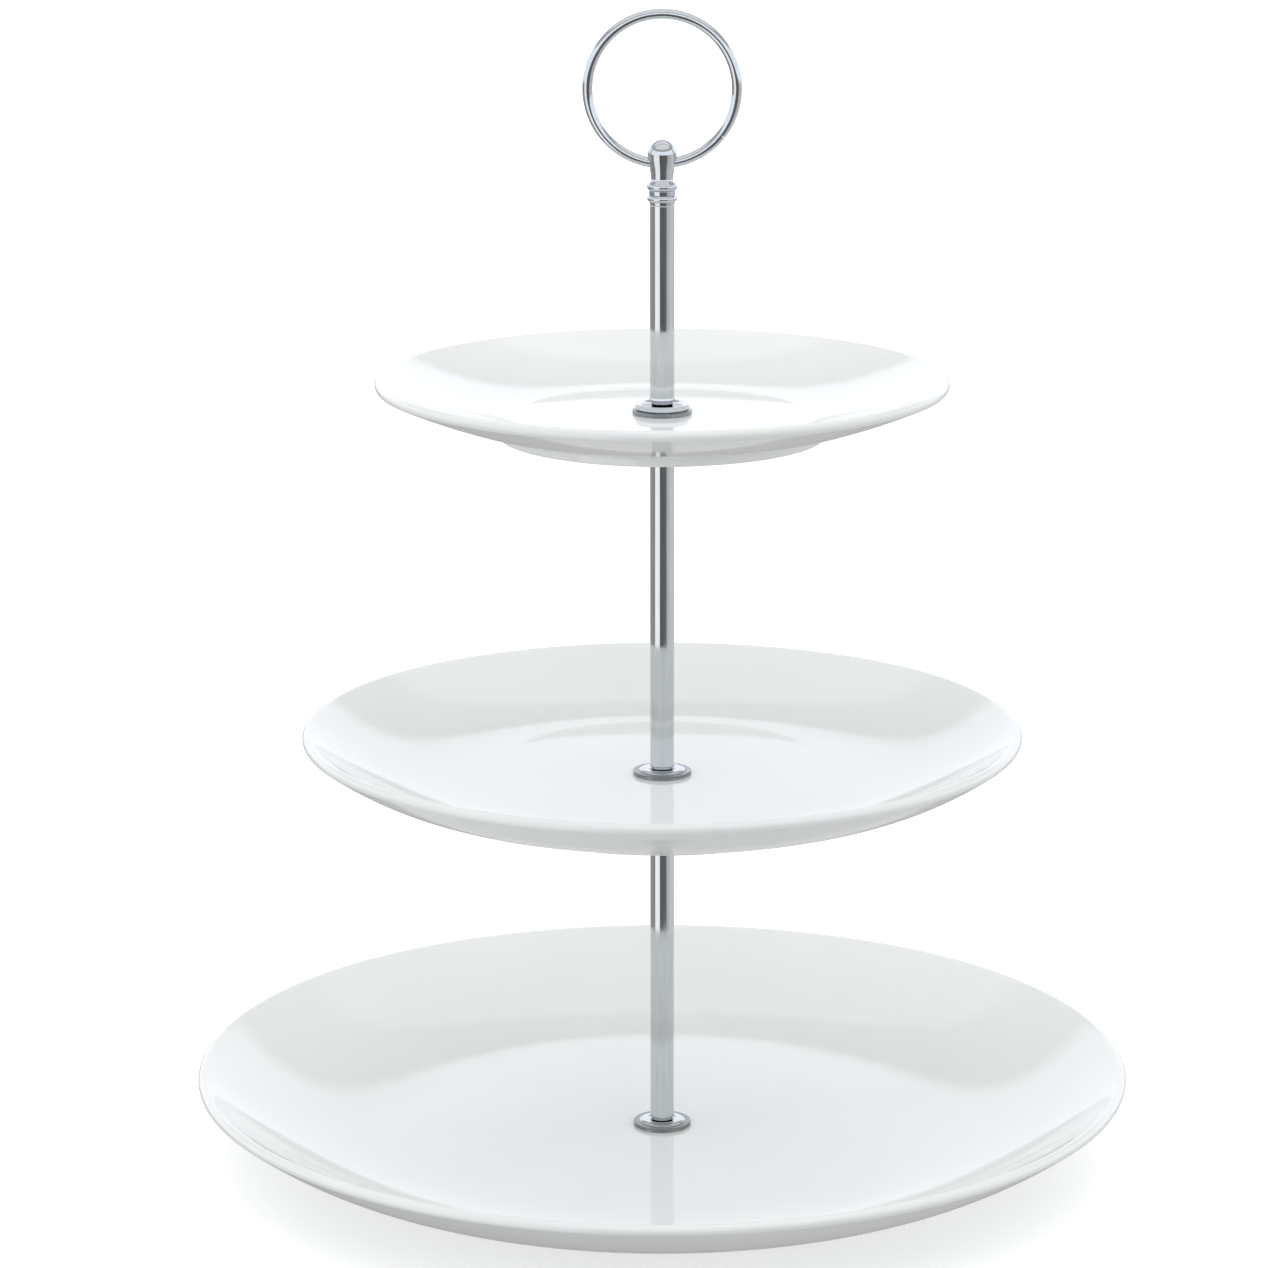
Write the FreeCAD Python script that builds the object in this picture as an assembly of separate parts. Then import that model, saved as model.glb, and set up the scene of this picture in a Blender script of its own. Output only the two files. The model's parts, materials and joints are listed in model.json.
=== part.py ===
import FreeCAD, Part
import math
import os

# Three-tier cake stand: glazed porcelain plates on three screwed rods with a ring handle.
# Millimetres, +Z up. The origin is the centre of the foot ring the stand rests on.

# Plates
bottom_plate_diameter = 275.0
middle_plate_diameter = 210.0
top_plate_diameter = 165.0
bottom_plate_depth = 27.4      # rim crest above the foot ring
middle_plate_depth = 22.0
top_plate_depth = 17.0
bottom_well_depth = 19.8       # rim crest above the flat well
middle_well_depth = 14.3
top_well_depth = 10.7
bottom_centre_thickness = 4.0  # porcelain between the washers
middle_centre_thickness = 4.4
top_centre_thickness = 3.5
bottom_foot_height = 2.4       # foot ring below the wall beside it
middle_foot_height = 2.4
top_foot_height = 1.7
bottom_wall_power = 2.5        # 1 is a straight cone; higher keeps the wall flat for longer
middle_wall_power = 2.4
top_wall_power = 1.5
foot_radius_share = 0.555      # of the plate's radius
well_radius_share = 0.5
foot_ring_width = 3.0
foot_edge_rounding = 0.8
foot_side_taper = 0.6
rim_thickness = 3.2
plate_hole_diameter = 8.6

# Washers
soft_washer_diameter = 17.1
soft_washer_thickness = 1.2
base_washer_thickness = 1.0
seat_washer_diameter = 16.0
seat_washer_thickness = 1.0
washer_hole_clearance = 0.15   # around the thread, on radius
washer_edge_rounding = 0.25
flange_diameter = 13.6
flange_thickness = 0.6
flange_flat_diameter = 9.4
flange_rim_height = 0.15
top_flange_diameter = 15.4
top_flange_thickness = 1.7
top_flange_chamfer = 0.3
top_flange_underside_rounding = 0.45

# Rods and threads
rod_diameter = 7.0
lower_rod_length = 100.0       # neck included
middle_rod_length = 100.0
upper_rod_length = 57.5
rod_end_chamfer = 0.25
neck_diameter = 6.2
neck_height = 0.7
top_neck_height = 0.9
lip_diameter = 7.5             # rolled lip round the upper rod's lower end
lip_height = 0.9
spigot_diameter = 5.3          # end of the rod that its flange swivels on
spigot_running_clearance = 0.05
spigot_flare = 0.2             # rolled over below the flange, so the flange stays on
spigot_recess = 0.05
flare_height = 0.27
thread_diameter = 4.0
thread_running_clearance = 0.04
thread_travel = 7.0            # ten turns at 0.7 pitch
thread_left_engaged = 0.5
stud_set_depth = 9.0           # stud fixed in the rod below it
bore_spare_depth = 1.5
drill_point_share = 0.6        # depth of the drilled cone over its radius

# Bolt under the bottom plate
bolt_head_diameter = 15.0
bolt_head_height = 2.2
bolt_head_edge = 1.0
bolt_slot_width = 1.4
bolt_slot_depth = 0.9

# Finial
finial_height = 18.5
ball_diameter = 8.2
ball_straight = 3.2            # near-straight side below the dome
finial_neck_diameter = 6.3
finial_neck_height = 7.4
upper_bead_diameter = 8.65
upper_bead_height = 5.25
upper_bead_width = 2.3
lower_bead_diameter = 8.55
lower_bead_height = 1.85
lower_bead_width = 1.95
bead_edge_diameter = 7.3
groove_ring_diameter = 7.5
finial_spigot_length = 6.0

# Ring handle
ring_outer_diameter = 45.2
ring_wire_diameter = 2.85
ring_below_finial_top = 6.7    # cross hole's axis below the top of the dome
ring_hole_clearance = 0.06
hole_straight = 0.4            # half the length of the hole's straight middle


def point(r, z):
    return FreeCAD.Vector(r, 0, z)


def line(a, b):
    return Part.makeLine(point(*a), point(*b))


def arc(a, middle, b):
    return Part.Arc(point(*a), point(*middle), point(*b)).toShape()


def spline(points, start=None, end=None):
    curve = Part.BSplineCurve()
    tangents = {}
    if start:
        tangents["InitialTangent"] = point(*start)
    if end:
        tangents["FinalTangent"] = point(*end)
    curve.interpolate([point(*p) for p in points], **tangents)
    return curve.toShape()


def path(points):
    """Straight edges from each (radius, height) to the next."""
    return [line(a, b) for a, b in zip(points, points[1:])]


def turned(edges):
    """The solid that a closed outline in the X-Z plane makes when it turns about Z."""
    face = Part.Face(Part.Wire(edges))
    solid = face.revolve(FreeCAD.Vector(0, 0, 0), FreeCAD.Vector(0, 0, 1), 360)
    if solid.Volume < 0:
        solid.reverse()
    return solid


def turned_path(points):
    return turned(path(points + points[:1]))


def export(name, shape):
    shape.exportStep("parts/" + name + ".step")


def plate(base, diameter, depth, well_depth, centre, foot_height, power):
    """A coupe plate with its foot ring on height base: flat well, wall rising to a rounded rim."""
    half_rim = rim_thickness / 2
    well = depth - well_depth
    start_r = well_radius_share * diameter / 2
    end_r = diameter / 2 - half_rim
    start_z = (well + foot_height) / 2
    rise = depth - half_rim - start_z
    run = end_r - start_r
    start_thickness = well - foot_height

    def wall(share, side):
        """A point on the inner (side 1) or outer (side -1) face of the wall."""
        slope = power * rise / run * share ** (power - 1)
        half = start_thickness / 2 + (half_rim - start_thickness / 2) * share
        length = math.hypot(1, slope)
        return (start_r + run * share - side * half * slope / length,
                base + start_z + rise * share ** power + side * half / length)

    slope = power * rise / run
    length = math.hypot(1, slope)
    tip = (end_r + half_rim / length, base + start_z + rise + half_rim * slope / length)
    foot_r = foot_radius_share * diameter / 2
    foot_out, foot_in = foot_r + foot_ring_width / 2, foot_r - foot_ring_width / 2
    foot_share = (foot_out + foot_side_taper - start_r) / run
    inner = [wall((i / 12) ** 1.3, 1) for i in range(13)]
    outer = [wall(foot_share + (1 - foot_share) * i / 12, -1) for i in range(12, -1, -1)]
    hole_r = plate_hole_diameter / 2
    under = base + well - centre
    edge = foot_edge_rounding
    bevel = edge * (1 - math.sqrt(0.5))
    edges = [line((hole_r, base + well), inner[0]),
             spline(inner, start=(1, 0), end=(1, slope)),
             arc(inner[-1], tip, outer[0]),
             spline(outer),
             line(outer[-1], (foot_out, base + edge)),
             arc((foot_out, base + edge), (foot_out - bevel, base + bevel), (foot_out - edge, base)),
             line((foot_out - edge, base), (foot_in + edge, base)),
             arc((foot_in + edge, base), (foot_in + bevel, base + bevel), (foot_in, base + edge)),
             line((foot_in, base + edge), (foot_in - foot_side_taper, under)),
             line((foot_in - foot_side_taper, under), (hole_r, under)),
             line((hole_r, under), (hole_r, base + well))]
    return turned(edges)


def washer(base, diameter, thickness):
    """A flat washer round the thread with its outer edges softened."""
    r, hole_r, e = diameter / 2, thread_diameter / 2 + washer_hole_clearance, washer_edge_rounding
    return turned_path([(hole_r, base), (r - e, base), (r, base + e), (r, base + thickness - e),
                        (r - e, base + thickness), (hole_r, base + thickness)])


def flange_hole(base, thickness):
    """The inside of a flange, from its top to its countersunk underside."""
    r = spigot_diameter / 2 + spigot_running_clearance
    flare_r = r + spigot_flare + spigot_running_clearance
    return [(r, base + thickness), (r, base + flare_height + spigot_recess), (flare_r, base)]


def domed_flange(base):
    r, flat_r, top = flange_diameter / 2, flange_flat_diameter / 2, base + flange_thickness
    hole = flange_hole(base, flange_thickness)
    edges = path([(flat_r, top)] + hole + [(r, base), (r, base + flange_rim_height)])
    drop = (r - flat_r, flange_thickness - flange_rim_height)
    shoulder = (flat_r + drop[0] * math.sin(math.pi / 4), top - drop[1] * (1 - math.cos(math.pi / 4)))
    return turned(edges + [spline([(r, base + flange_rim_height), shoulder, (flat_r, top)],
                                  start=(0, 1), end=(-1, 0))])


def flat_flange(base):
    r, top, e = top_flange_diameter / 2, base + top_flange_thickness, top_flange_underside_rounding
    bevel, c = e * (1 - math.sqrt(0.5)), top_flange_chamfer
    edges = path([(r, base + e), (r, top - c), (r - c, top)] + flange_hole(base, top_flange_thickness)
                 + [(r - e, base)])
    return turned(edges + [arc((r - e, base), (r - bevel, base + bevel), (r, base + e))])


def bored(solid, mouth, depth, up):
    """Drill the thread's clearance bore from height mouth, upwards or downwards."""
    r = thread_diameter / 2 + thread_running_clearance
    way = 1 if up else -1
    drill = turned_path([(0, mouth - way), (r, mouth - way), (r, mouth + way * depth),
                         (0, mouth + way * (depth + drill_point_share * r))])
    return solid.cut(drill)


def rod(base, length, neck, flange, lip=0):
    """A rod whose neck stands on its flange at height base; its spigot goes down through it."""
    r, neck_r, spigot_r, c = rod_diameter / 2, neck_diameter / 2, spigot_diameter / 2, rod_end_chamfer
    end = base - flange + spigot_recess
    lower = [(0, end), (spigot_r + spigot_flare, end), (spigot_r, end + flare_height),
             (spigot_r, base), (neck_r, base), (neck_r, base + neck)]
    if lip:
        lip_r = lip_diameter / 2
        lower += [(lip_r - c, base + neck), (lip_r, base + neck + c), (r, base + neck + lip)]
    else:
        lower += [(r - c, base + neck), (r, base + neck + c)]
    upper = [(r, base + length - c), (r - c, base + length), (0, base + length)]
    solid = turned_path(lower + upper)
    solid = bored(solid, end, thread_travel + thread_left_engaged + bore_spare_depth, True)
    return bored(solid, base + length, stud_set_depth, False)


def stud(low, high):
    """A length of threaded rod, pointed a little at both ends."""
    r, c = thread_diameter / 2, 0.4
    return turned_path([(0, low), (r - c, low), (r, low + c), (r, high - c), (r - c, high), (0, high)])


def stud_top(flange_base):
    """How high a thread reaches into the rod whose flange lies at this height."""
    return flange_base + spigot_recess + thread_travel + thread_left_engaged


# Heights, from the table up.
bottom_well = bottom_plate_depth - bottom_well_depth
lower_flange_base = bottom_well + soft_washer_thickness
lower_rod_base = lower_flange_base + flange_thickness
middle_seat_base = lower_rod_base + lower_rod_length
middle_soft_base = middle_seat_base + seat_washer_thickness
middle_under = middle_soft_base + soft_washer_thickness
middle_well = middle_under + middle_centre_thickness
middle_plate_base = middle_well - (middle_plate_depth - middle_well_depth)
middle_flange_base = middle_well + soft_washer_thickness
middle_rod_base = middle_flange_base + flange_thickness
top_seat_base = middle_rod_base + middle_rod_length
top_soft_base = top_seat_base + seat_washer_thickness
top_under = top_soft_base + soft_washer_thickness
top_well = top_under + top_centre_thickness
top_plate_base = top_well - (top_plate_depth - top_well_depth)
top_flange_base = top_well + soft_washer_thickness
upper_rod_base = top_flange_base + top_flange_thickness
finial_base = upper_rod_base + upper_rod_length

os.makedirs("parts", exist_ok=True)

# Plates.
export("bottom_plate", plate(0, bottom_plate_diameter, bottom_plate_depth, bottom_well_depth,
                             bottom_centre_thickness, bottom_foot_height, bottom_wall_power))
export("middle_plate", plate(middle_plate_base, middle_plate_diameter, middle_plate_depth,
                             middle_well_depth, middle_centre_thickness, middle_foot_height,
                             middle_wall_power))
export("top_plate", plate(top_plate_base, top_plate_diameter, top_plate_depth, top_well_depth,
                          top_centre_thickness, top_foot_height, top_wall_power))

# Soft washers over and under each plate, and metal seats where a plate stands on a rod's end.
bottom_under = bottom_well - bottom_centre_thickness
base_washer_base = bottom_under - base_washer_thickness
export("base_soft_washer", washer(base_washer_base, soft_washer_diameter, base_washer_thickness))
export("bottom_soft_washer", washer(bottom_well, soft_washer_diameter, soft_washer_thickness))
export("middle_seat_washer", washer(middle_seat_base, seat_washer_diameter, seat_washer_thickness))
export("middle_under_washer", washer(middle_soft_base, soft_washer_diameter, soft_washer_thickness))
export("middle_soft_washer", washer(middle_well, soft_washer_diameter, soft_washer_thickness))
export("top_seat_washer", washer(top_seat_base, seat_washer_diameter, seat_washer_thickness))
export("top_under_washer", washer(top_soft_base, soft_washer_diameter, soft_washer_thickness))
export("top_soft_washer", washer(top_well, soft_washer_diameter, soft_washer_thickness))

# Flanges that swivel on the rods' lower ends.
export("lower_flange", domed_flange(lower_flange_base))
export("middle_flange", domed_flange(middle_flange_base))
export("top_flange", flat_flange(top_flange_base))

# Rods, and the studs set in their upper ends.
export("lower_rod", rod(lower_rod_base, lower_rod_length, neck_height, flange_thickness))
export("middle_rod", rod(middle_rod_base, middle_rod_length, neck_height, flange_thickness))
export("upper_rod", rod(upper_rod_base, upper_rod_length, top_neck_height, top_flange_thickness,
                        lip_height))
export("lower_stud", stud(middle_seat_base - stud_set_depth, stud_top(middle_flange_base)))
export("middle_stud", stud(top_seat_base - stud_set_depth, stud_top(top_flange_base)))

# Slotted bolt in the bottom plate's recess.
head_r, shank_r, head_edge = bolt_head_diameter / 2, thread_diameter / 2, bolt_head_edge
head_base = base_washer_base - bolt_head_height
shank_top = stud_top(lower_flange_base)
bolt = turned_path([(0, head_base), (head_r - head_edge, head_base), (head_r, head_base + head_edge),
                    (head_r, base_washer_base), (shank_r, base_washer_base), (shank_r, shank_top - 0.4),
                    (shank_r - 0.4, shank_top), (0, shank_top)])
slot = Part.makeBox(bolt_head_diameter, bolt_slot_width, bolt_slot_depth,
                    FreeCAD.Vector(-head_r, -bolt_slot_width / 2, head_base))
export("base_bolt", bolt.cut(slot))

# Finial: a domed ball over two beads, with a threaded end down into the upper rod.
ball_r, edge_r = ball_diameter / 2, bead_edge_diameter / 2
finial_top = finial_base + finial_height
dome_z = finial_top - ball_r
lobe_z = dome_z - ball_straight
waist = (finial_neck_diameter / 2, finial_base + finial_neck_height)
upper_low = finial_base + upper_bead_height - upper_bead_width / 2
upper_high = upper_low + upper_bead_width
lower_low = finial_base + lower_bead_height - lower_bead_width / 2
lower_high = lower_low + lower_bead_width
ring_r = groove_ring_diameter / 2
spigot_end = finial_base - finial_spigot_length
profile = [arc((0, finial_top), (ball_r * math.sqrt(0.5), dome_z + ball_r * math.sqrt(0.5)),
               (ball_r, dome_z)),
           spline([(ball_r, dome_z), (ball_r - 0.1, lobe_z), waist], start=(0, -1), end=(0, -1)),
           arc(waist, (waist[0] + 0.1, (waist[1] + upper_high) / 2), (edge_r, upper_high)),
           arc((edge_r, upper_high), (upper_bead_diameter / 2, (upper_low + upper_high) / 2),
               (edge_r, upper_low))]
profile += path([(edge_r, upper_low), (ring_r, upper_low), (ring_r, lower_high), (edge_r, lower_high)])
profile += [arc((edge_r, lower_high), (lower_bead_diameter / 2, (lower_low + lower_high) / 2),
                (edge_r, lower_low))]
profile += path([(edge_r, lower_low), (rod_diameter / 2, finial_base), (shank_r, finial_base),
                 (shank_r, spigot_end), (0, spigot_end), (0, finial_top)])
finial = turned(profile)

# The cross hole is wider at its mouths, so the ring's curve swings through it either way.
wire_r = ring_wire_diameter / 2
ring_centre_r = ring_outer_diameter / 2 - wire_r
ring_axis = finial_top - ring_below_finial_top
reach = ball_r + 1


def hole_radius(x):
    return wire_r + ring_hole_clearance + ring_centre_r - math.sqrt(ring_centre_r ** 2 - x ** 2)


def mouth(side):
    """The hole's outline from its straight middle out to one mouth, or in from the other."""
    steps = [hole_straight + (reach - hole_straight) * i / 5 for i in range(6)]
    return [(side * x, ring_axis + hole_radius(x)) for x in (steps if side > 0 else steps[::-1])]


left, right = mouth(-1), mouth(1)
outline = [spline(left), line(left[-1], right[0]), spline(right), line(right[-1], (reach, ring_axis)),
           line((reach, ring_axis), (-reach, ring_axis)), line((-reach, ring_axis), left[0])]
cross_hole = Part.Face(Part.Wire(outline)).revolve(point(0, ring_axis), FreeCAD.Vector(1, 0, 0), 360)
if cross_hole.Volume < 0:
    cross_hole.reverse()
export("finial", finial.cut(cross_hole))

# Ring handle, standing upright in the X-Z plane.
ring = Part.makeTorus(ring_centre_r, wire_r, point(0, ring_axis + ring_centre_r),
                      FreeCAD.Vector(0, 1, 0))
export("ring_handle", ring)
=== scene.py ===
import bpy
import bmesh
import json
import math
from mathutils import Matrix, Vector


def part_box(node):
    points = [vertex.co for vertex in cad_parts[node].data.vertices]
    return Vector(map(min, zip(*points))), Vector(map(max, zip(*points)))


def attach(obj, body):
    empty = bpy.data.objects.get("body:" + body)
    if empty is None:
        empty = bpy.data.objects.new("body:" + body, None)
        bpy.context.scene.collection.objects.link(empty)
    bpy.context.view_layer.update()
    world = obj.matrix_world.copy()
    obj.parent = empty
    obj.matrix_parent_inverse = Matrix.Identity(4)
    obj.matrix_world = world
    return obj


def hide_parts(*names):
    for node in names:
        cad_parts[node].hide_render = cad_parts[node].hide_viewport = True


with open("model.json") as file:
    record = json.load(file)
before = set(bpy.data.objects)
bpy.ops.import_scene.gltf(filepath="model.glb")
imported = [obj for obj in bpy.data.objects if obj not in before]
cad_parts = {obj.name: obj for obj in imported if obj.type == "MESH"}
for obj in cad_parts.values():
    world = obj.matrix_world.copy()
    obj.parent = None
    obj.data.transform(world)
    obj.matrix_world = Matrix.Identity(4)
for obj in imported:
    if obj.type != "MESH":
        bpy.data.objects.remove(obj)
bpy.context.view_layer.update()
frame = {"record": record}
mm = 0.001
record = frame["record"]
bodyOf = {node: body for body, nodes in record["behaviour"]["bodies"].items() for node in nodes}
slotOf = {part["node"]: part["material_slot"] for part in record["subparts"]}
scene = bpy.context.scene
boxes = {node: [list(corner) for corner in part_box(node)] for node in bodyOf}


def low(node, axis=2):
    return boxes[node][0][axis]


def high(node, axis=2):
    return boxes[node][1][axis]


studio = {"distance": 1.303, "eyeHeight": 0.4738, "lookDown": 13.62, "lens": 130.75, "sensor": 36.0,
          "shiftX": -0.0222, "farClip": 30.0, "floorSize": 80.0, "floorGlow": 0.30, "floorRoughness": 0.9,
          "floorTones": ("#fafafa", "#fcfcfc"), "floorPatchesPerMetre": 3.0}


def linear(hexColour, alpha=1.0):
    parts = [int(hexColour[i:i + 2], 16) / 255 for i in (1, 3, 5)]
    return [c / 12.92 if c <= 0.04045 else ((c + 0.055) / 1.055) ** 2.4 for c in parts] + [alpha]


def addNode(tree, kind, inputs=None, **settings):
    node = tree.nodes.new(kind)
    for name, value in settings.items():
        setattr(node, name, value)
    for name, value in (inputs or {}).items():
        if isinstance(value, bpy.types.NodeSocket):
            tree.links.new(value, node.inputs[name])
        else:
            node.inputs[name].default_value = value
    return node


def setRamp(node, stops):
    ramp = node.color_ramp
    while len(ramp.elements) > 1:
        ramp.elements.remove(ramp.elements[-1])
    ramp.elements[0].position, ramp.elements[0].color = stops[0][0], stops[0][1]
    for place, colour in stops[1:]:
        ramp.elements.new(place).color = colour


camera = bpy.data.objects.new("camera", bpy.data.cameras.new("camera"))
scene.collection.objects.link(camera)
camera.location = (0, -studio["distance"], studio["eyeHeight"])
camera.rotation_euler = (math.radians(90 - studio["lookDown"]), 0, 0)
camera.data.sensor_width = studio["sensor"]
camera.data.lens = studio["lens"]
camera.data.shift_x = studio["shiftX"]
camera.data.clip_end = studio["farClip"]
scene.camera = camera
scene.view_settings.view_transform = "Standard"
print("camera set")

floorMesh = bpy.data.meshes.new("floor")
half = studio["floorSize"] / 2
floorMesh.from_pydata([(-half, -half, 0), (half, -half, 0), (half, half, 0), (-half, half, 0)], [],
                      [(0, 1, 2, 3)])
floor = bpy.data.objects.new("floor", floorMesh)
scene.collection.objects.link(floor)
floor.visible_glossy = False  # the rods mirror the studio, not the table
floor.visible_diffuse = False  # and the table throws no light back up at the plates

world = bpy.data.worlds.new("studio")
scene.world = world
world.use_nodes = True
sky = world.node_tree
sky.nodes.clear()
direction = addNode(sky, "ShaderNodeTexCoord").outputs["Generated"]
axes = addNode(sky, "ShaderNodeSeparateXYZ", {"Vector": direction}).outputs
front = addNode(sky, "ShaderNodeMath", {0: axes["Y"], 1: -1.0}, operation="MULTIPLY").outputs[0]
around = addNode(sky, "ShaderNodeMath", {0: axes["X"], 1: front}, operation="ARCTAN2").outputs[0]
turnShare = addNode(sky, "ShaderNodeMapRange", {"Value": around, "From Min": -math.pi,
                                                "From Max": math.pi}).outputs[0]


def grey(level):
    return (level, level, level * 1.01, 1)


lowRoom = addNode(sky, "ShaderNodeValToRGB", {"Fac": turnShare})  # dark and light panels the chrome picks up
setRamp(lowRoom, [(0.0, grey(0.50)), (0.29, grey(0.36)), (0.315, grey(1.40)), (0.425, grey(1.40)),
                  (0.45, grey(0.15)), (0.60, grey(0.18)), (0.64, grey(0.66)), (0.80, grey(0.88)),
                  (1.0, grey(0.50))])
highRoom = addNode(sky, "ShaderNodeValToRGB", {"Fac": axes["Z"]})  # cool walls, a darker band, a bright ceiling
coolWall = (1.32, 1.36, 1.45, 1)
setRamp(highRoom, [(0.0, coolWall), (0.40, coolWall), (0.45, grey(0.58)), (0.66, grey(0.64)),
                   (0.70, grey(1.12)), (1.0, grey(1.12))])
rising = addNode(sky, "ShaderNodeMapRange", {"Value": axes["Z"], "From Min": -0.06, "From Max": -0.01}).outputs[0]
room = addNode(sky, "ShaderNodeMix", {"Factor": rising, 6: lowRoom.outputs[0], 7: highRoom.outputs[0]},
               data_type="RGBA").outputs[2]
light = addNode(sky, "ShaderNodeBackground", {"Color": room, "Strength": 1.0})
addNode(sky, "ShaderNodeOutputWorld", {"Surface": light.outputs[0]})
print("studio lit")


def newMaterial(name):
    material = bpy.data.materials.new(name)
    material.use_nodes = True
    material.node_tree.nodes.clear()
    return material


def closeMaterial(tree, shader):
    addNode(tree, "ShaderNodeOutputMaterial", {"Surface": shader.outputs[0]})


def noiseRamp(tree, where, scale, stops, detail=3.0):
    noise = addNode(tree, "ShaderNodeTexNoise", {"Vector": where, "Scale": scale, "Detail": detail})
    ramp = addNode(tree, "ShaderNodeValToRGB", {"Fac": noise.outputs["Fac"]})
    setRamp(ramp, stops)
    return ramp.outputs[0]


porcelain = {"glaze": "#f4f5f2", "glazeShade": "#f0f2ef", "biscuit": "#e9e5dc", "glazeRoughness": 0.06,
             "biscuitRoughness": 0.62, "cloudSize": 60.0, "peelSize": 4.0, "peelStrength": 0.02,
             "peelHeight": 0.0001, "ior": 1.52}


def glazedPorcelain():
    material = newMaterial("glazedWhitePorcelain")  # fired clear glaze: wet gloss over a white body
    tree = material.node_tree
    where = addNode(tree, "ShaderNodeTexCoord").outputs["Object"]
    clouds = noiseRamp(tree, where, 1000 / porcelain["cloudSize"],
                       [(0.35, linear(porcelain["glazeShade"])), (0.65, linear(porcelain["glaze"]))])
    bare = addNode(tree, "ShaderNodeAttribute", attribute_name="unglazed").outputs["Fac"]
    colour = addNode(tree, "ShaderNodeMix", {"Factor": bare, 6: clouds, 7: linear(porcelain["biscuit"])},
                     data_type="RGBA").outputs[2]
    rough = addNode(tree, "ShaderNodeMapRange", {"Value": bare, "To Min": porcelain["glazeRoughness"],
                                                 "To Max": porcelain["biscuitRoughness"]}).outputs[0]
    peel = addNode(tree, "ShaderNodeTexNoise", {"Vector": where, "Scale": 1000 / porcelain["peelSize"],
                                                "Detail": 2.0})
    bump = addNode(tree, "ShaderNodeBump", {"Strength": porcelain["peelStrength"],
                                            "Distance": porcelain["peelHeight"],
                                            "Height": peel.outputs["Fac"]})
    shader = addNode(tree, "ShaderNodeBsdfPrincipled", {"Base Color": colour, "Roughness": rough,
                                                        "IOR": porcelain["ior"], "Normal": bump.outputs[0]})
    closeMaterial(tree, shader)
    return material


plating = {"calm": 0.3, "busy": 0.75, "markStrength": 0.03, "markHeight": 0.00002}


def platedSteel(name, tone, roughness, lineSize, lineStretch):
    material = newMaterial(name)  # plate over polished steel: chrome is a cool mirror, zinc is greyer and duller
    tree = material.node_tree
    where = addNode(tree, "ShaderNodeTexCoord").outputs["Object"]
    stretched = addNode(tree, "ShaderNodeMapping", {"Vector": where, "Scale": (1, 1, lineStretch)}).outputs[0]
    shade = noiseRamp(tree, stretched, 1000 / lineSize, [(0.3, linear(tone[0])), (0.7, linear(tone[1]))])
    marks = addNode(tree, "ShaderNodeTexNoise", {"Vector": stretched, "Scale": 1000 / lineSize, "Detail": 4.0})
    rough = addNode(tree, "ShaderNodeMapRange", {"Value": marks.outputs["Fac"], "From Min": plating["calm"],
                                                 "From Max": plating["busy"], "To Min": roughness[0],
                                                 "To Max": roughness[1]}).outputs[0]
    bump = addNode(tree, "ShaderNodeBump", {"Strength": plating["markStrength"],
                                            "Distance": plating["markHeight"],
                                            "Height": marks.outputs["Fac"]})
    shader = addNode(tree, "ShaderNodeBsdfPrincipled", {"Base Color": shade, "Metallic": 1.0, "Roughness": rough,
                                                        "Normal": bump.outputs[0]})
    closeMaterial(tree, shader)
    return material


softVinyl = {"clear": "#dfe5e6", "cloud": "#cdd5d7", "cloudSize": 3.0, "grainSize": 0.4, "grainStrength": 0.1,
             "grainHeight": 0.00003, "roughness": 0.18, "ior": 1.53, "seeThrough": 0.75}


def clearVinyl():
    material = newMaterial("mouldedClearVinyl")  # moulded soft PVC: see-through, milky, grey at the edge
    tree = material.node_tree
    where = addNode(tree, "ShaderNodeTexCoord").outputs["Object"]
    colour = noiseRamp(tree, where, 1000 / softVinyl["cloudSize"],
                       [(0.35, linear(softVinyl["cloud"])), (0.65, linear(softVinyl["clear"]))])
    grain = addNode(tree, "ShaderNodeTexNoise", {"Vector": where, "Scale": 1000 / softVinyl["grainSize"],
                                                 "Detail": 2.0})
    bump = addNode(tree, "ShaderNodeBump", {"Strength": softVinyl["grainStrength"],
                                            "Distance": softVinyl["grainHeight"], "Height": grain.outputs["Fac"]})
    shader = addNode(tree, "ShaderNodeBsdfPrincipled", {
        "Base Color": colour, "Roughness": softVinyl["roughness"], "IOR": softVinyl["ior"],
        "Transmission Weight": softVinyl["seeThrough"], "Normal": bump.outputs[0]})
    closeMaterial(tree, shader)
    return material


tableTop = newMaterial("matteWhiteTable")
floorWhere = addNode(tableTop.node_tree, "ShaderNodeTexCoord").outputs["Object"]
floorTone = noiseRamp(tableTop.node_tree, floorWhere, studio["floorPatchesPerMetre"],
                      [(0.0, linear(studio["floorTones"][0])), (1.0, linear(studio["floorTones"][1]))])
closeMaterial(tableTop.node_tree, addNode(tableTop.node_tree, "ShaderNodeBsdfPrincipled", {
    "Base Color": floorTone, "Roughness": studio["floorRoughness"], "Emission Color": (1, 1, 1, 1),
    "Emission Strength": studio["floorGlow"]}))
floorMesh.materials.append(tableTop)

finishes = {"glazed_porcelain": glazedPorcelain(), "soft_washer": clearVinyl(),
            "chrome_rod": platedSteel("drawnRodChrome", ("#c3c7c9", "#ced1d3"), (0.04, 0.10), 0.8, 0.05),
            "chrome_fitting": platedSteel("turnedFittingChrome", ("#bdc1c4", "#c8cccf"), (0.03, 0.07), 1.2, 2.0),
            "chrome_wire": platedSteel("bentWireChrome", ("#bdc1c4", "#c8cccf"), (0.03, 0.08), 1.0, 1.0),
            "zinc_steel": platedSteel("zincPlatedSteel", ("#b9bcc0", "#cfd2d4"), (0.22, 0.38), 0.6, 1.0)}
print("materials made")


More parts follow.
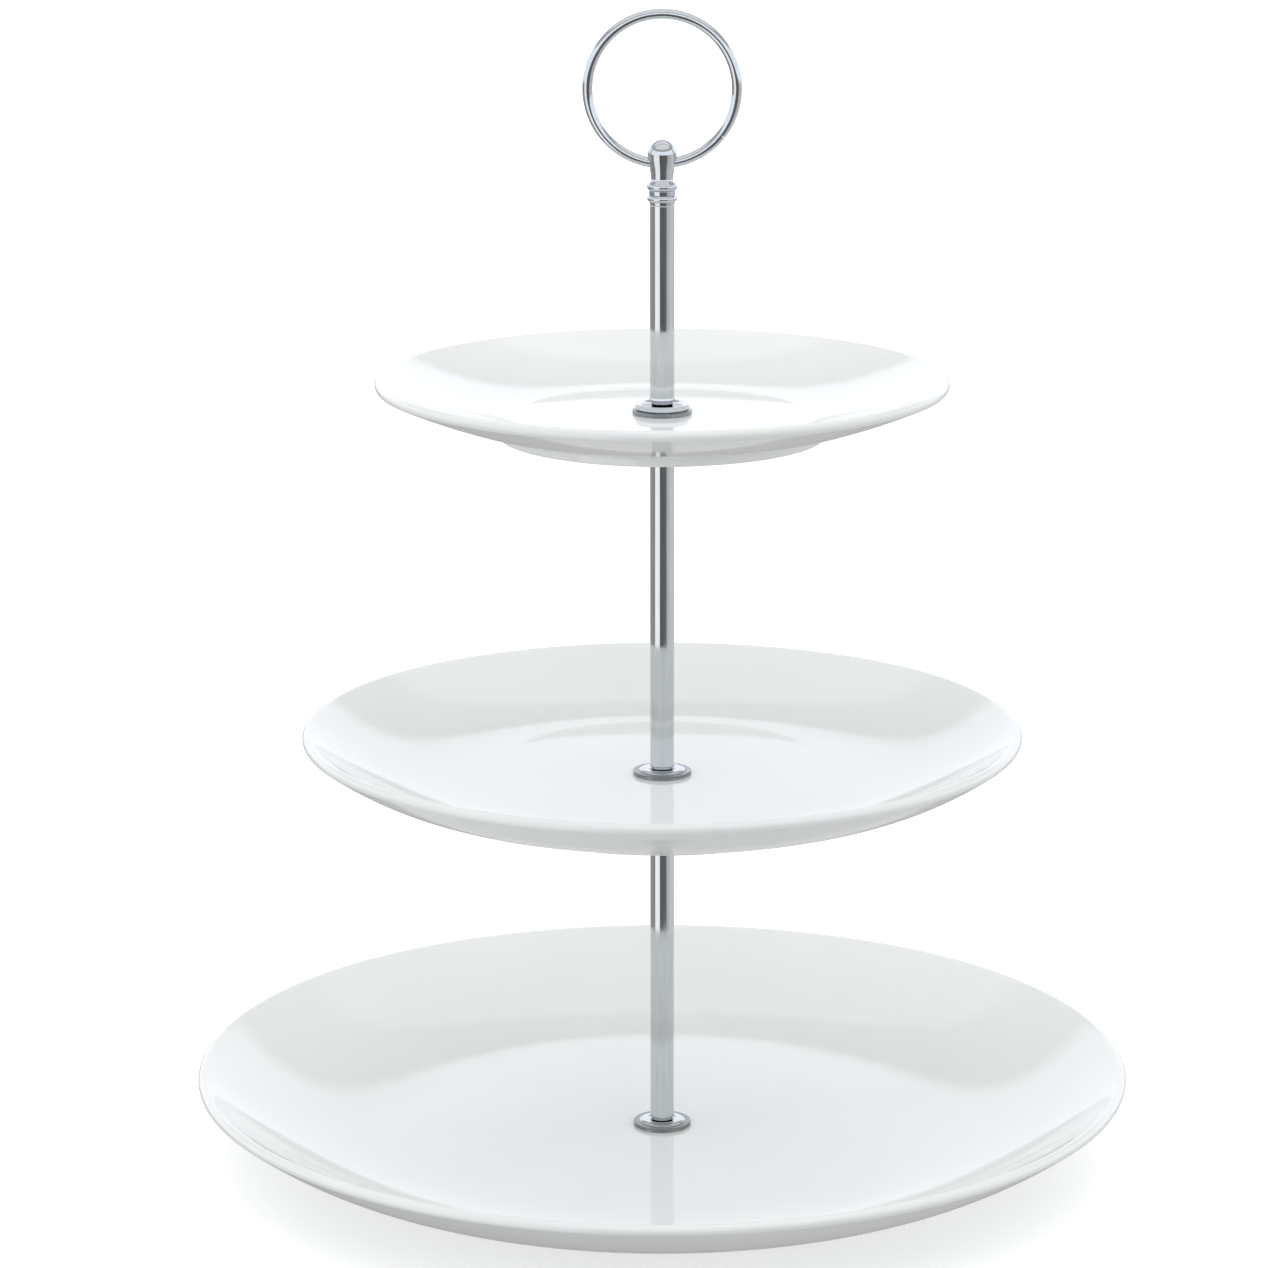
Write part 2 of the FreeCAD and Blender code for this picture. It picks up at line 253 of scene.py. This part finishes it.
def newTree(name, sockets):
    tree = bpy.data.node_groups.new(name, "GeometryNodeTree")
    tree.interface.new_socket("Geometry", in_out="INPUT", socket_type="NodeSocketGeometry")
    for socket, kind in sockets:
        tree.interface.new_socket(socket, in_out="INPUT", socket_type="NodeSocket" + kind)
    tree.interface.new_socket("Geometry", in_out="OUTPUT", socket_type="NodeSocketGeometry")
    return tree, addNode(tree, "NodeGroupInput").outputs


def closeTree(tree, mesh, material):
    smooth = addNode(tree, "GeometryNodeSetShadeSmooth", {"Geometry": mesh}).outputs[0]
    real = addNode(tree, "GeometryNodeRealizeInstances", {"Geometry": smooth}).outputs[0]
    painted = addNode(tree, "GeometryNodeSetMaterial", {"Geometry": real, "Material": material}).outputs[0]
    addNode(tree, "NodeGroupOutput", {"Geometry": painted})
    return tree


def turningTree():
    tree, given = newTree("turnedOutline", [("Segments", "Int"), ("Material", "Material")])
    outline = addNode(tree, "GeometryNodeMeshToCurve", {"Mesh": given["Geometry"]}).outputs[0]
    circle = addNode(tree, "GeometryNodeCurvePrimitiveCircle", {"Resolution": given["Segments"], "Radius": mm})
    mesh = addNode(tree, "GeometryNodeCurveToMesh", {"Curve": circle.outputs[0],
                                                     "Profile Curve": outline}).outputs[0]
    return closeTree(tree, mesh, given["Material"])


def wireTree():
    tree, given = newTree("bentWireRing", [("Ring Radius", "Float"), ("Wire Radius", "Float"), ("Start", "Float"),
                                           ("Sweep", "Float"), ("Centre", "Vector"), ("Material", "Material")])
    bend = addNode(tree, "GeometryNodeCurveArc", {"Resolution": 224, "Radius": given["Ring Radius"],
                                                  "Start Angle": given["Start"], "Sweep Angle": given["Sweep"]})
    wire = addNode(tree, "GeometryNodeCurvePrimitiveCircle", {"Resolution": 40, "Radius": given["Wire Radius"]})
    mesh = addNode(tree, "GeometryNodeCurveToMesh", {"Curve": bend.outputs["Curve"],
                                                     "Profile Curve": wire.outputs[0],
                                                     "Fill Caps": True}).outputs[0]
    upright = addNode(tree, "GeometryNodeTransform", {"Geometry": mesh, "Translation": given["Centre"],
                                                      "Rotation": (math.pi / 2, 0, 0)}).outputs[0]
    return closeTree(tree, upright, given["Material"])


def threadTree():
    tree, given = newTree("cutThread", [("Radius", "Float"), ("Length", "Float"), ("Pitch", "Float"),
                                        ("Depth", "Float"), ("Base", "Float"), ("Material", "Material")])
    rows = addNode(tree, "ShaderNodeMath", {0: given["Length"], 1: given["Pitch"]}, operation="DIVIDE").outputs[0]
    fine = addNode(tree, "ShaderNodeMath", {0: rows, 1: 10.0}, operation="MULTIPLY").outputs[0]
    whole = addNode(tree, "FunctionNodeFloatToInt", {"Float": fine}).outputs[0]
    bar = addNode(tree, "GeometryNodeMeshCylinder", {"Vertices": 40, "Side Segments": whole,
                                                     "Radius": given["Radius"],
                                                     "Depth": given["Length"]}).outputs["Mesh"]
    place = addNode(tree, "GeometryNodeInputPosition").outputs[0]
    xyz = addNode(tree, "ShaderNodeSeparateXYZ", {"Vector": place}).outputs
    angle = addNode(tree, "ShaderNodeMath", {0: xyz["Y"], 1: xyz["X"]}, operation="ARCTAN2").outputs[0]
    turnPart = addNode(tree, "ShaderNodeMath", {0: angle, 1: 2 * math.pi}, operation="DIVIDE").outputs[0]
    risePart = addNode(tree, "ShaderNodeMath", {0: xyz["Z"], 1: given["Pitch"]}, operation="DIVIDE").outputs[0]
    phase = addNode(tree, "ShaderNodeMath", {0: risePart, 1: turnPart}, operation="SUBTRACT").outputs[0]
    flank = addNode(tree, "ShaderNodeMath", {0: phase, 1: 0.5}, operation="PINGPONG").outputs[0]
    cut = addNode(tree, "ShaderNodeMath", {0: flank, 1: given["Depth"]}, operation="MULTIPLY").outputs[0]
    inwards = addNode(tree, "ShaderNodeCombineXYZ", {"X": xyz["X"], "Y": xyz["Y"]}).outputs[0]
    unit = addNode(tree, "ShaderNodeVectorMath", {0: inwards}, operation="NORMALIZE").outputs["Vector"]
    deep = addNode(tree, "ShaderNodeMath", {0: cut, 1: -2.0}, operation="MULTIPLY").outputs[0]
    offset = addNode(tree, "ShaderNodeVectorMath", {0: unit, "Scale": deep}, operation="SCALE").outputs["Vector"]
    threaded = addNode(tree, "GeometryNodeSetPosition", {"Geometry": bar, "Offset": offset}).outputs[0]
    half = addNode(tree, "ShaderNodeMath", {0: given["Length"], 1: 0.5}, operation="MULTIPLY").outputs[0]
    middle = addNode(tree, "ShaderNodeMath", {0: given["Base"], 1: half}, operation="ADD").outputs[0]
    centre = addNode(tree, "ShaderNodeCombineXYZ", {"Z": middle}).outputs[0]
    placed = addNode(tree, "GeometryNodeTransform", {"Geometry": threaded, "Translation": centre}).outputs[0]
    return closeTree(tree, placed, given["Material"])


trees = {"turned": turningTree(), "wire": wireTree(), "thread": threadTree()}


def finished(name, mesh, tree=None, values=None):
    holder = bpy.data.objects.new(name, mesh)
    scene.collection.objects.link(holder)
    if tree:
        modifier = holder.modifiers.new(tree.name, "NODES")
        modifier.node_group = tree
        sockets = {item.name: item.identifier for item in tree.interface.items_tree if item.in_out == "INPUT"}
        for socket, value in values.items():
            modifier[sockets[socket]] = value
    result = bpy.data.meshes.new_from_object(holder.evaluated_get(bpy.context.evaluated_depsgraph_get()))
    bpy.data.objects.remove(holder)
    shape = bmesh.new()
    shape.from_mesh(result)
    bmesh.ops.remove_doubles(shape, verts=shape.verts, dist=0.000001)
    bmesh.ops.recalc_face_normals(shape, faces=shape.faces)
    shape.to_mesh(result)
    shape.free()
    return result


def rounded(corners, steps=6):
    points = []
    for i, (r, z, fillet) in enumerate(corners):
        if not fillet:
            points.append((r, z))
            continue
        before, after = corners[i - 1], corners[(i + 1) % len(corners)]
        inX, inZ = before[0] - r, before[1] - z
        outX, outZ = after[0] - r, after[1] - z
        inLength, outLength = math.hypot(inX, inZ), math.hypot(outX, outZ)
        inX, inZ, outX, outZ = inX / inLength, inZ / inLength, outX / outLength, outZ / outLength
        cosine = max(-1, min(1, inX * outX + inZ * outZ))
        angle = math.acos(cosine)
        reach = fillet / math.tan(angle / 2)
        a, b = (r + inX * reach, z + inZ * reach), (r + outX * reach, z + outZ * reach)
        spare = fillet * 0.12  # a close row beside each fillet keeps flat faces looking flat
        if reach + spare < inLength:
            points.append((a[0] + inX * spare, a[1] + inZ * spare))
        centreX = r + (inX + outX) * fillet / math.sin(angle)
        centreZ = z + (inZ + outZ) * fillet / math.sin(angle)
        startAngle = math.atan2(a[1] - centreZ, a[0] - centreX)
        sweep = math.atan2(b[1] - centreZ, b[0] - centreX) - startAngle
        sweep = (sweep + math.pi) % (2 * math.pi) - math.pi
        points += [(centreX + fillet * math.cos(startAngle + sweep * k / steps),
                    centreZ + fillet * math.sin(startAngle + sweep * k / steps)) for k in range(steps + 1)]
        if reach + spare < outLength:
            points.append((b[0] + outX * spare, b[1] + outZ * spare))
    return points


def turnedMesh(name, outline, segments, slot, closed=True):
    outlineMesh = bpy.data.meshes.new(name + "Outline")
    count = len(outline)
    edges = [(i, (i + 1) % count) for i in range(count if closed else count - 1)]
    outlineMesh.from_pydata([(r * mm - mm, -z * mm, 0) for r, z in outline], edges, [])
    return finished(name, outlineMesh, trees["turned"], {"Segments": segments, "Material": finishes[slot]})


def pieceName(node):
    first, *others = node.split("_")
    return first + "".join(word.title() for word in others)


def addPiece(name, mesh, *nodes):
    piece = bpy.data.objects.new(name, mesh)
    scene.collection.objects.link(piece)
    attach(piece, bodyOf[nodes[0]])
    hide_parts(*nodes)
    return piece


plates = {"bottom_plate": {"wellDepth": 19.8, "centre": 4.0, "foot": 2.4, "power": 2.5},
          "middle_plate": {"wellDepth": 14.3, "centre": 4.4, "foot": 2.4, "power": 2.4},
          "top_plate": {"wellDepth": 10.7, "centre": 3.5, "foot": 1.7, "power": 1.5}}
plateShape = {"rim": 3.2, "rimRows": 12, "wellShare": 0.5, "wallRows": 48, "rowBias": 1.3, "footShare": 0.555,
              "footWidth": 3.0, "footTaper": 0.6, "footEdge": 0.8, "footBlend": 0.7, "bareHeight": 0.35,
              "holeRadius": 4.3, "holeEdge": 0.4, "segments": 256}


def plateOutline(radius, base, depth, size):
    halfRim = plateShape["rim"] / 2
    well = depth - size["wellDepth"]
    startR, endR = plateShape["wellShare"] * radius, radius - halfRim
    startZ = (well + size["foot"]) / 2
    rise, run = depth - halfRim - startZ, endR - startR
    startHalf = (well - size["foot"]) / 2

    def wall(share, side):
        half = startHalf + (halfRim - startHalf) * share
        slope = size["power"] * rise / run * max(share, 1e-9) ** (size["power"] - 1)
        length = math.hypot(1, slope)
        return (startR + run * share - side * half * slope / length,
                base + startZ + rise * share ** size["power"] + side * half / length)

    slope = size["power"] * rise / run
    across = math.atan2(1, -slope)
    rim = [(endR + halfRim * math.cos(across - math.pi * k / plateShape["rimRows"]),
            base + startZ + rise + halfRim * math.sin(across - math.pi * k / plateShape["rimRows"]))
           for k in range(1, plateShape["rimRows"])]
    footR = plateShape["footShare"] * radius
    footOut, footIn = footR + plateShape["footWidth"] / 2, footR - plateShape["footWidth"] / 2
    footSharePoint = (footOut + plateShape["footTaper"] - startR) / run
    rows = plateShape["wallRows"]
    inner = [wall((k / rows) ** plateShape["rowBias"], 1) for k in range(rows + 1)]
    outer = [wall(footSharePoint + (1 - footSharePoint) * k / rows, -1) for k in range(rows, -1, -1)]
    hole, under = plateShape["holeRadius"], base + well - size["centre"]
    edge, holeEdge = plateShape["footEdge"], plateShape["holeEdge"]
    foot = rounded([(*outer[-2], 0), (*outer[-1], plateShape["footBlend"]), (footOut, base, edge),
                    (footIn, base, edge), (footIn - plateShape["footTaper"], under, edge),
                    (hole, under, holeEdge), (hole, base + well, holeEdge), (*inner[1], 0)])[1:-1]
    return inner + rim + outer[:-1] + foot


for node, size in plates.items():
    outline = plateOutline(high(node, 0) / mm, low(node) / mm, (high(node) - low(node)) / mm, size)
    mesh = turnedMesh(node, outline, plateShape["segments"], "glazed_porcelain")
    bare = mesh.attributes.new("unglazed", "FLOAT", "POINT")  # the foot ring is wiped clean of glaze
    for vertex in mesh.vertices:
        bare.data[vertex.index].value = 1.0 if vertex.co.z < low(node) + plateShape["bareHeight"] * mm else 0.0
    addPiece(pieceName(node), mesh, node)
print("plates thrown")


washerShape = {"hole": 2.15, "holeEdge": 0.1, "softEdge": 0.3, "metalEdge": 0.2, "segments": 96}
for node, slot in slotOf.items():
    if node.endswith("washer"):
        r, z0, z1 = high(node, 0) / mm, low(node) / mm, high(node) / mm
        edge = washerShape["softEdge" if slot == "soft_washer" else "metalEdge"]
        hole, holeEdge = washerShape["hole"], washerShape["holeEdge"]
        outline = rounded([(hole, z0, holeEdge), (r, z0, edge), (r, z1, edge), (hole, z1, holeEdge)])
        addPiece(pieceName(node), turnedMesh(node, outline, washerShape["segments"], slot), node)

flangeShape = {"hole": 2.7, "flare": 2.95, "flareHeight": 0.32, "flat": 4.7, "rimHeight": 0.15, "rimRows": 10,
               "lowerEdge": 0.45, "upperEdge": 0.25, "segments": 128}
for node in ("lower_flange", "middle_flange", "top_flange"):
    r, z0, z1 = high(node, 0) / mm, low(node) / mm, high(node) / mm
    inside = [(flangeShape["hole"], z1), (flangeShape["hole"], z0 + flangeShape["flareHeight"]),
              (flangeShape["flare"], z0)]
    if node == "top_flange":
        shoulder = rounded([(flangeShape["flare"], z0, 0), (r, z0, flangeShape["lowerEdge"]),
                            (r, z1, flangeShape["upperEdge"]), (flangeShape["hole"], z1, 0)])[1:-1]
    else:
        across, drop = r - flangeShape["flat"], z1 - z0 - flangeShape["rimHeight"]
        rows = flangeShape["rimRows"]
        shoulder = [(r, z0)] + [(flangeShape["flat"] + across * math.cos(k * math.pi / (2 * rows)),
                                 z1 - drop + drop * math.sin(k * math.pi / (2 * rows))) for k in range(rows + 1)]
    mesh = turnedMesh(node, inside + shoulder, flangeShape["segments"], slotOf[node])
    addPiece(pieceName(node), mesh, node)
print("washers and flanges laid")


rodShape = {"radius": 3.5, "neck": 3.1, "neckHeight": {"lower_rod": 0.7, "middle_rod": 0.7, "upper_rod": 0.9},
            "spigot": 2.65, "spigotHeight": {"lower_rod": 0.55, "middle_rod": 0.55, "upper_rod": 1.65},
            "flare": 2.85, "flareHeight": 0.27, "seatGap": 0.01, "bore": 2.04, "boreDepth": 9.0, "boreEdge": 0.08,
            "cone": 1.2, "edge": 0.25, "lip": 3.75, "lipHeight": 0.9, "segments": 96}
for node in ("lower_rod", "middle_rod", "upper_rod"):
    z0, z1, r = low(node) / mm, high(node) / mm, rodShape["radius"]
    bore, boreEdge, deep = rodShape["bore"], rodShape["boreEdge"], rodShape["boreDepth"]
    seat = z0 + rodShape["spigotHeight"][node] + rodShape["seatGap"]  # a hair clear of the flange it turns on
    end = seat + rodShape["neckHeight"][node]
    corners = [(0, z0 + deep + rodShape["cone"], 0), (bore, z0 + deep, 0), (bore, z0, boreEdge),
               (rodShape["flare"], z0, 0), (rodShape["spigot"], z0 + rodShape["flareHeight"], 0),
               (rodShape["spigot"], seat, 0.05), (rodShape["neck"], seat, 0.08), (rodShape["neck"], end, 0.1)]
    if node == "upper_rod":
        corners += [(rodShape["lip"], end, 0.3), (r, end + rodShape["lipHeight"], 0.5)]
    else:
        corners += [(r, end, rodShape["edge"])]
    corners += [(r, z1, rodShape["edge"]), (bore, z1, boreEdge), (bore, z1 - deep, 0),
                (0, z1 - deep - rodShape["cone"], 0)]
    mesh = turnedMesh(node, rounded(corners), rodShape["segments"], slotOf[node], False)
    addPiece(pieceName(node), mesh, node)
print("rods turned")


threadShape = {"radius": 2.0, "pitch": 0.7, "depth": 0.38, "slotLength": 20.0, "slotWidth": 1.4, "slotDepth": 0.9,
               "headEdge": 0.9, "rimEdge": 0.2, "headSegments": 96, "root": 0.5}


def threadedBar(name, base, length, slot):
    return finished(name, bpy.data.meshes.new(name), trees["thread"], {
        "Radius": threadShape["radius"] * mm, "Length": length * mm, "Pitch": threadShape["pitch"] * mm,
        "Depth": threadShape["depth"] * mm, "Base": base * mm, "Material": finishes[slot]})


for node in ("lower_stud", "middle_stud"):
    bar = threadedBar(node, low(node) / mm, (high(node) - low(node)) / mm, slotOf[node])
    addPiece(pieceName(node), bar, node)

z0, z1, headR = low("base_bolt") / mm, low("base_soft_washer") / mm, high("base_bolt", 0) / mm
headOutline = rounded([(0, z0, 0), (headR, z0, threadShape["headEdge"]), (headR, z1, threadShape["rimEdge"]),
                       (0, z1, 0)])
blank = turnedMesh("boltHead", headOutline, threadShape["headSegments"], "zinc_steel", False)
head = bpy.data.objects.new("boltHead", blank)
scene.collection.objects.link(head)
cutterMesh = bpy.data.meshes.new("slotCutter")
box = bmesh.new()
bmesh.ops.create_cube(box, size=1)
for vertex in box.verts:
    vertex.co = (vertex.co.x * threadShape["slotLength"] * mm, vertex.co.y * threadShape["slotWidth"] * mm,
                 z0 * mm + vertex.co.z * 2 * threadShape["slotDepth"] * mm)
box.to_mesh(cutterMesh)
box.free()


def cutAway(piece, cutterMesh):
    cutter = bpy.data.objects.new("cutter", cutterMesh)
    scene.collection.objects.link(cutter)
    modifier = piece.modifiers.new("cut", "BOOLEAN")
    modifier.operation, modifier.solver, modifier.object = "DIFFERENCE", "EXACT", cutter
    result = bpy.data.meshes.new_from_object(piece.evaluated_get(bpy.context.evaluated_depsgraph_get()))
    bpy.data.objects.remove(piece)
    bpy.data.objects.remove(cutter)
    return result


headMesh = cutAway(head, cutterMesh)
headMesh.set_sharp_from_angle(angle=math.radians(40))
root = threadShape["root"]  # the shank starts inside the head
shank = threadedBar("boltShank", z1 - root, high("base_bolt") / mm - z1 + root, "zinc_steel")
joined = bmesh.new()
joined.from_mesh(headMesh)
joined.from_mesh(shank)
boltMesh = bpy.data.meshes.new("baseBolt")
joined.to_mesh(boltMesh)
joined.free()
boltMesh.materials.append(finishes["zinc_steel"])
addPiece("baseBolt", boltMesh, "base_bolt")
print("screws cut")


finialShape = {"height": 18.5, "ball": 4.1, "straight": 3.2, "neck": 3.15, "neckHeight": 7.4, "upperBead": 4.325,
               "upperBeadHeight": 5.25, "upperBeadWidth": 2.3, "lowerBead": 4.275, "lowerBeadHeight": 1.85,
               "lowerBeadWidth": 1.95, "beadEdge": 3.65, "ringRadius": 3.75, "rod": 3.5, "spigot": 2.0,
               "spigotLength": 6.0, "hole": 1.485, "holeCurve": 21.175, "holeDown": 6.7, "holeSegments": 64,
               "waistPull": 2.4, "segments": 160}


def bezier(a, b, c, d, steps):
    out = []
    for k in range(steps + 1):
        t = k / steps
        weights = ((1 - t) ** 3, 3 * t * (1 - t) ** 2, 3 * t * t * (1 - t), t ** 3)
        out.append(tuple(sum(w * p[i] for w, p in zip(weights, (a, b, c, d))) for i in (0, 1)))
    return out


def bulge(top, bottom, edge, radius, steps=12):
    half, rise = (top - bottom) / 2, radius - edge
    big = (half ** 2 + rise ** 2) / (2 * rise)
    limit = math.asin(half / big)
    middle = (top + bottom) / 2
    return [(radius - big + big * math.cos(limit - 2 * limit * k / steps),
             middle + big * math.sin(limit - 2 * limit * k / steps)) for k in range(steps + 1)]


f = finialShape
top = high("finial") / mm
base = top - f["height"]
dome = [(f["ball"] * math.sin(math.pi / 2 * k / 20), top - f["ball"] + f["ball"] * math.cos(math.pi / 2 * k / 20))
        for k in range(21)]
ballZ = top - f["ball"]
waistZ = base + f["neckHeight"]
flank = bezier((f["ball"], ballZ), (f["ball"], ballZ - f["straight"]), (f["neck"], waistZ + f["waistPull"]),
               (f["neck"], waistZ), 20)
upperTop = base + f["upperBeadHeight"] + f["upperBeadWidth"] / 2
upperBottom = upperTop - f["upperBeadWidth"]
lowerTop = base + f["lowerBeadHeight"] + f["lowerBeadWidth"] / 2
lowerBottom = lowerTop - f["lowerBeadWidth"]
throat = bezier((f["neck"], waistZ), (f["neck"], waistZ - 0.6), (f["beadEdge"] - 0.1, upperTop + 0.1),
                (f["beadEdge"], upperTop), 6)
outline = (dome + flank[1:] + throat[1:] + bulge(upperTop, upperBottom, f["beadEdge"], f["upperBead"])
           + rounded([(f["beadEdge"], upperBottom, 0), (f["ringRadius"], upperBottom, 0.12),
                      (f["ringRadius"], lowerTop, 0.12), (f["beadEdge"], lowerTop, 0)])[1:-1]
           + bulge(lowerTop, lowerBottom, f["beadEdge"], f["lowerBead"])
           + rounded([(f["beadEdge"], lowerBottom, 0), (f["rod"], base, 0.05), (f["spigot"], base, 0.05),
                      (f["spigot"], base - f["spigotLength"], 0.3), (0, base - f["spigotLength"], 0)])[1:])
blank = turnedMesh("finialBlank", outline, f["segments"], "chrome_fitting", False)
finialPiece = bpy.data.objects.new("finialBlank", blank)
scene.collection.objects.link(finialPiece)
reach = f["ball"] + 1
holeOutline = [(0, -reach)] + [
    (f["hole"] + f["holeCurve"] - math.sqrt(f["holeCurve"] ** 2 - (reach * k / 10) ** 2), reach * k / 10)
    for k in range(-10, 11)] + [(0, reach)]
holeMesh = turnedMesh("crossHole", holeOutline, f["holeSegments"], "chrome_fitting", False)
axisZ = top - f["holeDown"]
for vertex in holeMesh.vertices:
    x, y, z = vertex.co
    vertex.co = (z, y, axisZ * mm - x)
finialMesh = cutAway(finialPiece, holeMesh)
finialMesh.set_sharp_from_angle(angle=math.radians(35))
addPiece("finial", finialMesh, "finial")

handle = {"wire": 1.425, "jointAngle": -38.0, "jointGap": 0.35}
ringOuter = high("ring_handle", 0) / mm
ringMesh = finished("ringHandle", bpy.data.meshes.new("ringHandle"), trees["wire"], {
    "Ring Radius": (ringOuter - handle["wire"]) * mm, "Wire Radius": handle["wire"] * mm,
    "Start": math.radians(handle["jointAngle"]), "Sweep": math.radians(360 - handle["jointGap"]),
    "Centre": (0, 0, high("ring_handle") - ringOuter * mm), "Material": finishes["chrome_wire"]})
ringMesh.set_sharp_from_angle(angle=math.radians(50))
addPiece("ringHandle", ringMesh, "ring_handle")
print("finial and ring in place")
